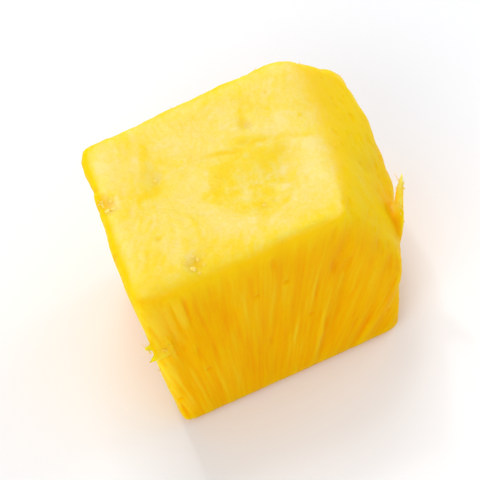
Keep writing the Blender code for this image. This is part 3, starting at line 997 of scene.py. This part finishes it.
def juice():
    """Juice: sugar water cloudy with fine pulp, so it is yellow like the flesh, with smooth glints."""
    material, tree = new_material("juice")
    place = add(tree, "ShaderNodeTexCoord").outputs["Object"]
    pulp = add(tree, "ShaderNodeTexNoise", {
        "Scale": per_metre(PULP_FLECK), "Detail": 2.0}, {"Vector": place}).outputs["Fac"]
    tone = add(tree, "ShaderNodeValToRGB", links={"Fac": pulp}, stops=(
        (0.35, "#FBE070"), (0.70, "#F6D038"))).outputs[0]
    ripple = add(tree, "ShaderNodeBump", {
        "Strength": 0.25, "Distance": 0.03 * MM}, {"Height": pulp}).outputs[0]
    shader = add(tree, "ShaderNodeBsdfPrincipled", {
        "Roughness": 0.05,
        "IOR": 1.35,
        "Specular IOR Level": 0.7,
        "Coat Weight": 1.0,
        "Coat Roughness": 0.03,
        "Coat IOR": 1.35,
    }, {"Base Color": tone, "Normal": ripple})
    add(tree, "ShaderNodeOutputMaterial", links={"Surface": shader.outputs[0]})
    return material


def dried_flower():
    """Dried flower parts: papery and brown, darker where they are thick."""
    material, tree = new_material("dried_flower")
    place = add(tree, "ShaderNodeTexCoord").outputs["Object"]
    ridges = add(tree, "ShaderNodeTexNoise", {
        "Scale": per_metre(FLOWER_RIDGE), "Detail": 3.0}, {"Vector": place}).outputs["Fac"]
    tone = add(tree, "ShaderNodeValToRGB", links={"Fac": ridges}, stops=(
        (0.30, "#5E3A18"), (0.55, "#8A5A26"), (0.75, "#B98638"))).outputs[0]
    paper = add(tree, "ShaderNodeBump", {
        "Strength": 0.7, "Distance": 0.03 * MM}, {"Height": ridges}).outputs[0]
    shader = add(tree, "ShaderNodeBsdfPrincipled", {
        "Roughness": 0.55,
        "IOR": 1.45,
        "Specular IOR Level": 0.4,
    }, {"Base Color": tone, "Normal": paper})
    add(tree, "ShaderNodeOutputMaterial", links={"Surface": shader.outputs[0]})
    return material


def studio_floor():
    """Matt white board."""
    material, tree = new_material("studio_floor")
    shader = add(tree, "ShaderNodeBsdfPrincipled", {
        "Base Color": linear("#F4F6F9"),
        "Roughness": 0.9,
    })
    add(tree, "ShaderNodeOutputMaterial", links={"Surface": shader.outputs[0]})
    return material


# ---------------------------------------------------------------- studio

def set_camera():
    """The photograph's view of the chunk."""
    back = direction(VIEW_HEADING, VIEW_CLIMB)
    low, high = (Vector(corner) for corner in solid_box)
    target = (low + high) * 0.5 + Vector(VIEW_SHIFT)
    lens = bpy.data.cameras.new("camera")
    lens.lens = lens.sensor_width * VIEW_DISTANCE / VIEW_WIDTH
    lens.clip_start = VIEW_NEAR
    camera = bpy.data.objects.new("camera", lens)
    camera.location = target + back * VIEW_DISTANCE
    camera.rotation_euler = back.to_track_quat("Z", "Y").to_euler()
    bpy.context.scene.collection.objects.link(camera)
    bpy.context.scene.camera = camera


def soft_light(name, heading, climb, size, power):
    """A square soft box that looks at the chunk."""
    lamp = bpy.data.lights.new(name, "AREA")
    lamp.shape = "SQUARE"
    lamp.size = size
    lamp.energy = power
    light = bpy.data.objects.new(name, lamp)
    way = direction(heading, climb)
    light.location = way * LIGHT_DISTANCE
    light.rotation_euler = way.to_track_quat("Z", "Y").to_euler()
    bpy.context.scene.collection.objects.link(light)


def set_floor():
    """A plain white board under the chunk."""
    form = bmesh.new()
    bmesh.ops.create_grid(form, x_segments=1, y_segments=1, size=FLOOR_REACH)
    mesh = bpy.data.meshes.new("floor")
    form.to_mesh(mesh)
    form.free()
    mesh.materials.append(studio_floor())
    floor = bpy.data.objects.new("floor", mesh)
    floor.location.z = -FLOOR_DROP
    bpy.context.scene.collection.objects.link(floor)


def set_lights():
    """Soft boxes behind, in front of and beside the chunk, a small one for glints, and a pale room."""
    soft_light("key", heading=84.0, climb=57.0, size=0.36, power=2.4)
    soft_light("glint", heading=100.0, climb=54.0, size=0.05, power=0.5)
    soft_light("fill", heading=-145.0, climb=34.0, size=0.60, power=2.75)
    soft_light("side", heading=10.0, climb=36.0, size=0.50, power=1.3)
    world = bpy.data.worlds.new("room")
    world.use_nodes = True
    room = world.node_tree.nodes["Background"]
    room.inputs["Color"].default_value = linear("#FFFFFF")
    room.inputs["Strength"].default_value = ROOM_LIGHT
    bpy.context.scene.world = world
    bpy.context.scene.view_settings.view_transform = "Standard"


def build():
    """Every piece, its material and what it rides on."""
    flesh, skin = grow_flesh()
    flesh.data.materials.clear()
    flesh.data.materials.append(ripe_flesh())
    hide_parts(SOLID)
    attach(flesh, BODY)
    loose_fibres(skin)
    crumbs(skin)
    juice_beads(skin)
    eye_specks(skin)
    set_floor()
    set_lights()
    set_camera()


build()
